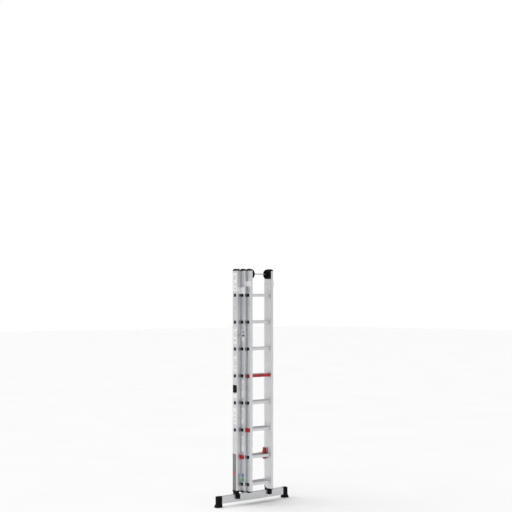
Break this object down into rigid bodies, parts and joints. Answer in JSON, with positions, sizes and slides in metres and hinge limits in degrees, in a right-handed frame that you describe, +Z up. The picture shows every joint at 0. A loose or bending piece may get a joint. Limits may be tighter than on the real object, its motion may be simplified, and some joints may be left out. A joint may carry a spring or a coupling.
{
  "type": "extension ladder",
  "caption": "Closed three-section sliding aluminium ladder with a stabiliser bar on rubber feet, wall wheels, hooks and latches.",
  "frame": {"origin": "on the floor under the middle of the ladder's outline", "axes": "+X to the ladder's right, +Y from the front (top section) to the back (base section), +Z up along the stiles"},
  "size_m": [1.004, 0.1932, 2.453],
  "materials": {
    "stile_aluminium": "mill-finish extrusion, drawn lengthways",
    "rung_aluminium": "satin extrusion with grip grooves",
    "bar_aluminium": "satin extrusion",
    "bracket_aluminium": "pale bead-blasted",
    "marker_paint": "satin red paint",
    "red_plastic": "satin moulded plastic",
    "black_plastic": "fine moulded grain",
    "foot_rubber": "matt moulded rubber",
    "wheel_rubber": "matt rubber-tyred wheel",
    "plated_steel": "bright zinc plating",
    "black_steel": "black oxide"
  },
  "bodies": {
    "base_section": {"base_stile_left": "stile_aluminium", "base_stile_right": "stile_aluminium", "base_rung_1": "rung_aluminium", "base_rung_2": "rung_aluminium", "base_rung_3": "rung_aluminium", "base_rung_4": "rung_aluminium", "base_rung_5": "rung_aluminium", "base_rung_6": "rung_aluminium", "base_rung_7": "rung_aluminium", "base_rung_8": "rung_aluminium", "base_rung_plugs": "black_plastic", "base_top_caps": "black_plastic", "base_guides": "bracket_aluminium", "base_guide_rivets": "bracket_aluminium", "stabiliser_bar": "bar_aluminium", "foot_left": "foot_rubber", "foot_right": "foot_rubber", "bar_clamp_left": "black_plastic", "bar_clamp_right": "black_plastic", "clamp_bolts": "black_steel"},
    "middle_section": {"middle_stile_left": "stile_aluminium", "middle_stile_right": "stile_aluminium", "middle_rung_1": "rung_aluminium", "middle_rung_2": "rung_aluminium", "middle_rung_3": "rung_aluminium", "middle_rung_4": "rung_aluminium", "middle_rung_5": "rung_aluminium", "middle_rung_6": "rung_aluminium", "middle_rung_7": "rung_aluminium", "middle_rung_8": "rung_aluminium", "middle_rung_plugs": "black_plastic", "middle_hook_plates": "red_plastic", "middle_top_caps": "black_plastic", "middle_bottom_caps": "black_plastic", "middle_guides": "bracket_aluminium", "middle_guide_rivets": "bracket_aluminium", "middle_hook_left": "red_plastic", "middle_hook_right": "red_plastic"},
    "latch_left": {"latch_left": "red_plastic"},
    "latch_right": {"latch_right": "red_plastic"},
    "top_section": {"top_stile_left": "stile_aluminium", "top_stile_right": "stile_aluminium", "top_rung_1": "rung_aluminium", "top_rung_2": "rung_aluminium", "top_rung_3": "rung_aluminium", "top_rung_4": "rung_aluminium", "top_rung_5": "marker_paint", "top_rung_6": "rung_aluminium", "top_rung_7": "rung_aluminium", "top_rung_8": "rung_aluminium", "top_rung_plugs": "black_plastic", "marker_rung_plugs": "red_plastic", "top_hook_plates": "red_plastic", "top_top_caps": "black_plastic", "top_bottom_caps": "black_plastic", "top_hook_left": "plated_steel", "top_hook_right": "plated_steel", "wheel_axle": "plated_steel"},
    "wheel_left": {"wheel_left": "wheel_rubber"},
    "wheel_right": {"wheel_right": "wheel_rubber"}
  },
  "joints": [
    {"name": "middle_slide", "type": "slide", "parent": "base_section", "child": "middle_section", "axis": [0, 0, 1], "range_m": [0, 1.4]},
    {"name": "top_slide", "type": "slide", "parent": "middle_section", "child": "top_section", "axis": [0, 0, 1], "range_m": [0, 1.4]},
    {"name": "left_wheel_spin", "type": "hinge", "parent": "top_section", "child": "wheel_left", "pos_m": [0, -0.04537, 2.398], "axis": [1, 0, 0], "continuous": true},
    {"name": "right_wheel_spin", "type": "hinge", "parent": "top_section", "child": "wheel_right", "pos_m": [0, -0.04537, 2.398], "axis": [1, 0, 0], "continuous": true},
    {"name": "left_latch_swing", "type": "hinge", "parent": "middle_section", "child": "latch_left", "pos_m": [0, 0.00162, 0.464], "axis": [-1, 0, 0], "range_deg": [0, 75], "stiffness_Nm_per_rad": 0.05, "springref_deg": -20.05},
    {"name": "right_latch_swing", "type": "hinge", "parent": "middle_section", "child": "latch_right", "pos_m": [0, 0.00162, 0.464], "axis": [-1, 0, 0], "range_deg": [0, 75], "stiffness_Nm_per_rad": 0.05, "springref_deg": -20.05}
  ]
}
